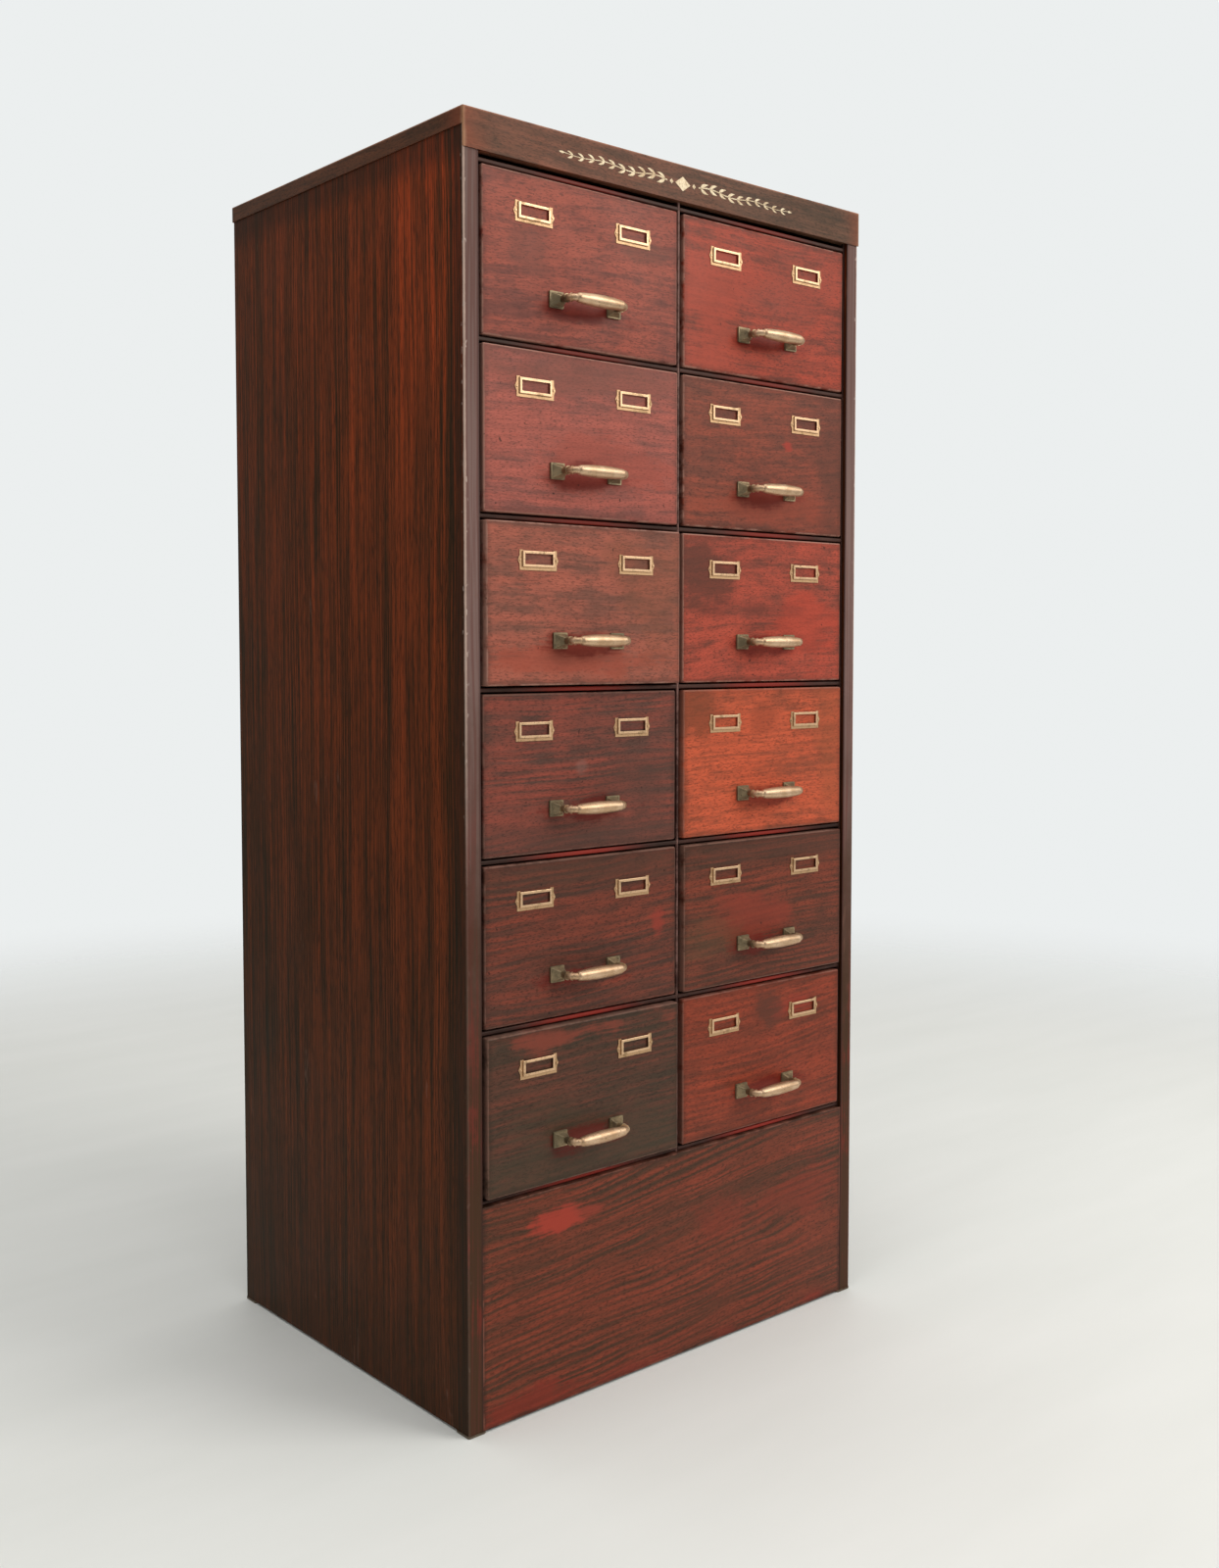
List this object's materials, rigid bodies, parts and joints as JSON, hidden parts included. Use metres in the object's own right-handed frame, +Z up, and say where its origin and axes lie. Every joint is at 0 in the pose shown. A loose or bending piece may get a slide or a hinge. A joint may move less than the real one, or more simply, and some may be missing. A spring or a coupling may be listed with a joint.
{
  "type": "drawer cabinet",
  "caption": "Free-standing wood-grained steel filing cabinet with two columns of sliding drawers, brass pulls and card frames, over a plain plinth.",
  "frame": {"origin": "on the floor, under the middle of the object's bounding box, which the pulls and the drawers left ajar belong to", "axes": "+X to the right seen from the front, -Y towards the user, +Z up"},
  "size_m": [0.65, 0.5432, 1.45],
  "materials": {
    "front_grain_1a": "wood-grained stoved lacquer, satin, aged",
    "front_grain_1b": "wood-grained stoved lacquer, satin, aged",
    "front_grain_2a": "wood-grained stoved lacquer, satin, aged",
    "front_grain_2b": "wood-grained stoved lacquer, satin, aged",
    "front_grain_3a": "wood-grained stoved lacquer, satin, aged",
    "front_grain_3b": "wood-grained stoved lacquer, satin, aged",
    "front_grain_4a": "wood-grained stoved lacquer, satin, aged",
    "front_grain_4b": "wood-grained stoved lacquer, satin, aged",
    "front_grain_5a": "wood-grained stoved lacquer, satin, aged",
    "front_grain_5b": "wood-grained stoved lacquer, satin, aged",
    "front_grain_6a": "wood-grained stoved lacquer, satin, aged",
    "front_grain_6b": "wood-grained stoved lacquer, satin, aged",
    "side_grain_left": "wood-grained stoved lacquer, satin, aged",
    "side_grain_right": "wood-grained stoved lacquer, satin, aged",
    "cap_grain": "wood-grained stoved lacquer, worn at the corners",
    "plinth_grain": "wood-grained stoved lacquer, satin, aged",
    "back_steel": "plain brown lacquer, satin",
    "inner_steel": "plain brown lacquer, dusty",
    "frame_steel": "plain brown lacquer, rubbed",
    "mullion_steel": "brown lacquer, rubbed bright along its nose",
    "rail_steel": "red-brown lacquer, rubbed along its nose",
    "runner_steel": "bare sheet steel, rubbed by the trays",
    "glide_steel": "dull aged steel",
    "screw_steel": "dull plated steel",
    "tray_steel": "plain olive-brown lacquer, lightly scratched",
    "pull_brass": "cast and rubbed, dark in the corners",
    "card_brass": "pressed, lightly tarnished"
  },
  "bodies": {
    "cabinet": {"side_panel_left": "side_grain_left", "side_panel_right": "side_grain_right", "top_cap": "cap_grain", "back_panel": "back_steel", "plinth_panel": "plinth_grain", "base_pan": "inner_steel", "uprights": "frame_steel", "centre_mullion": "mullion_steel", "cross_rails": "rail_steel", "drawer_runners": "runner_steel", "corner_glides": "glide_steel", "back_screws": "screw_steel"},
    "drawer_1a": {"drawer_1a_front": "front_grain_1a", "drawer_1a_tray": "tray_steel", "drawer_1a_pull": "pull_brass", "drawer_1a_card_frames": "card_brass"},
    "drawer_1b": {"drawer_1b_front": "front_grain_1b", "drawer_1b_tray": "tray_steel", "drawer_1b_pull": "pull_brass", "drawer_1b_card_frames": "card_brass"},
    "drawer_2a": {"drawer_2a_front": "front_grain_2a", "drawer_2a_tray": "tray_steel", "drawer_2a_pull": "pull_brass", "drawer_2a_card_frames": "card_brass"},
    "drawer_2b": {"drawer_2b_front": "front_grain_2b", "drawer_2b_tray": "tray_steel", "drawer_2b_pull": "pull_brass", "drawer_2b_card_frames": "card_brass"},
    "drawer_3a": {"drawer_3a_front": "front_grain_3a", "drawer_3a_tray": "tray_steel", "drawer_3a_pull": "pull_brass", "drawer_3a_card_frames": "card_brass"},
    "drawer_3b": {"drawer_3b_front": "front_grain_3b", "drawer_3b_tray": "tray_steel", "drawer_3b_pull": "pull_brass", "drawer_3b_card_frames": "card_brass"},
    "drawer_4a": {"drawer_4a_front": "front_grain_4a", "drawer_4a_tray": "tray_steel", "drawer_4a_pull": "pull_brass", "drawer_4a_card_frames": "card_brass"},
    "drawer_4b": {"drawer_4b_front": "front_grain_4b", "drawer_4b_tray": "tray_steel", "drawer_4b_pull": "pull_brass", "drawer_4b_card_frames": "card_brass"},
    "drawer_5a": {"drawer_5a_front": "front_grain_5a", "drawer_5a_tray": "tray_steel", "drawer_5a_pull": "pull_brass", "drawer_5a_card_frames": "card_brass"},
    "drawer_5b": {"drawer_5b_front": "front_grain_5b", "drawer_5b_tray": "tray_steel", "drawer_5b_pull": "pull_brass", "drawer_5b_card_frames": "card_brass"},
    "drawer_6a": {"drawer_6a_front": "front_grain_6a", "drawer_6a_tray": "tray_steel", "drawer_6a_pull": "pull_brass", "drawer_6a_card_frames": "card_brass"},
    "drawer_6b": {"drawer_6b_front": "front_grain_6b", "drawer_6b_tray": "tray_steel", "drawer_6b_pull": "pull_brass", "drawer_6b_card_frames": "card_brass"}
  },
  "joints": [
    {"name": "drawer_1a_slide", "type": "slide", "parent": "cabinet", "child": "drawer_1a", "axis": [0, -1, 0], "range_m": [-0.0015, 0.3685]},
    {"name": "drawer_1b_slide", "type": "slide", "parent": "cabinet", "child": "drawer_1b", "axis": [0, -1, 0], "range_m": [0, 0.37]},
    {"name": "drawer_2a_slide", "type": "slide", "parent": "cabinet", "child": "drawer_2a", "axis": [0, -1, 0], "range_m": [-0.003, 0.367]},
    {"name": "drawer_2b_slide", "type": "slide", "parent": "cabinet", "child": "drawer_2b", "axis": [0, -1, 0], "range_m": [0, 0.37]},
    {"name": "drawer_3a_slide", "type": "slide", "parent": "cabinet", "child": "drawer_3a", "axis": [0, -1, 0], "range_m": [-0.0075, 0.3625]},
    {"name": "drawer_3b_slide", "type": "slide", "parent": "cabinet", "child": "drawer_3b", "axis": [0, -1, 0], "range_m": [0, 0.37]},
    {"name": "drawer_4a_slide", "type": "slide", "parent": "cabinet", "child": "drawer_4a", "axis": [0, -1, 0], "range_m": [0, 0.37]},
    {"name": "drawer_4b_slide", "type": "slide", "parent": "cabinet", "child": "drawer_4b", "axis": [0, -1, 0], "range_m": [-0.002, 0.368]},
    {"name": "drawer_5a_slide", "type": "slide", "parent": "cabinet", "child": "drawer_5a", "axis": [0, -1, 0], "range_m": [-0.001, 0.369]},
    {"name": "drawer_5b_slide", "type": "slide", "parent": "cabinet", "child": "drawer_5b", "axis": [0, -1, 0], "range_m": [-0.0035, 0.3665]},
    {"name": "drawer_6a_slide", "type": "slide", "parent": "cabinet", "child": "drawer_6a", "axis": [0, -1, 0], "range_m": [-0.006, 0.364]},
    {"name": "drawer_6b_slide", "type": "slide", "parent": "cabinet", "child": "drawer_6b", "axis": [0, -1, 0], "range_m": [-0.002, 0.368]}
  ]
}
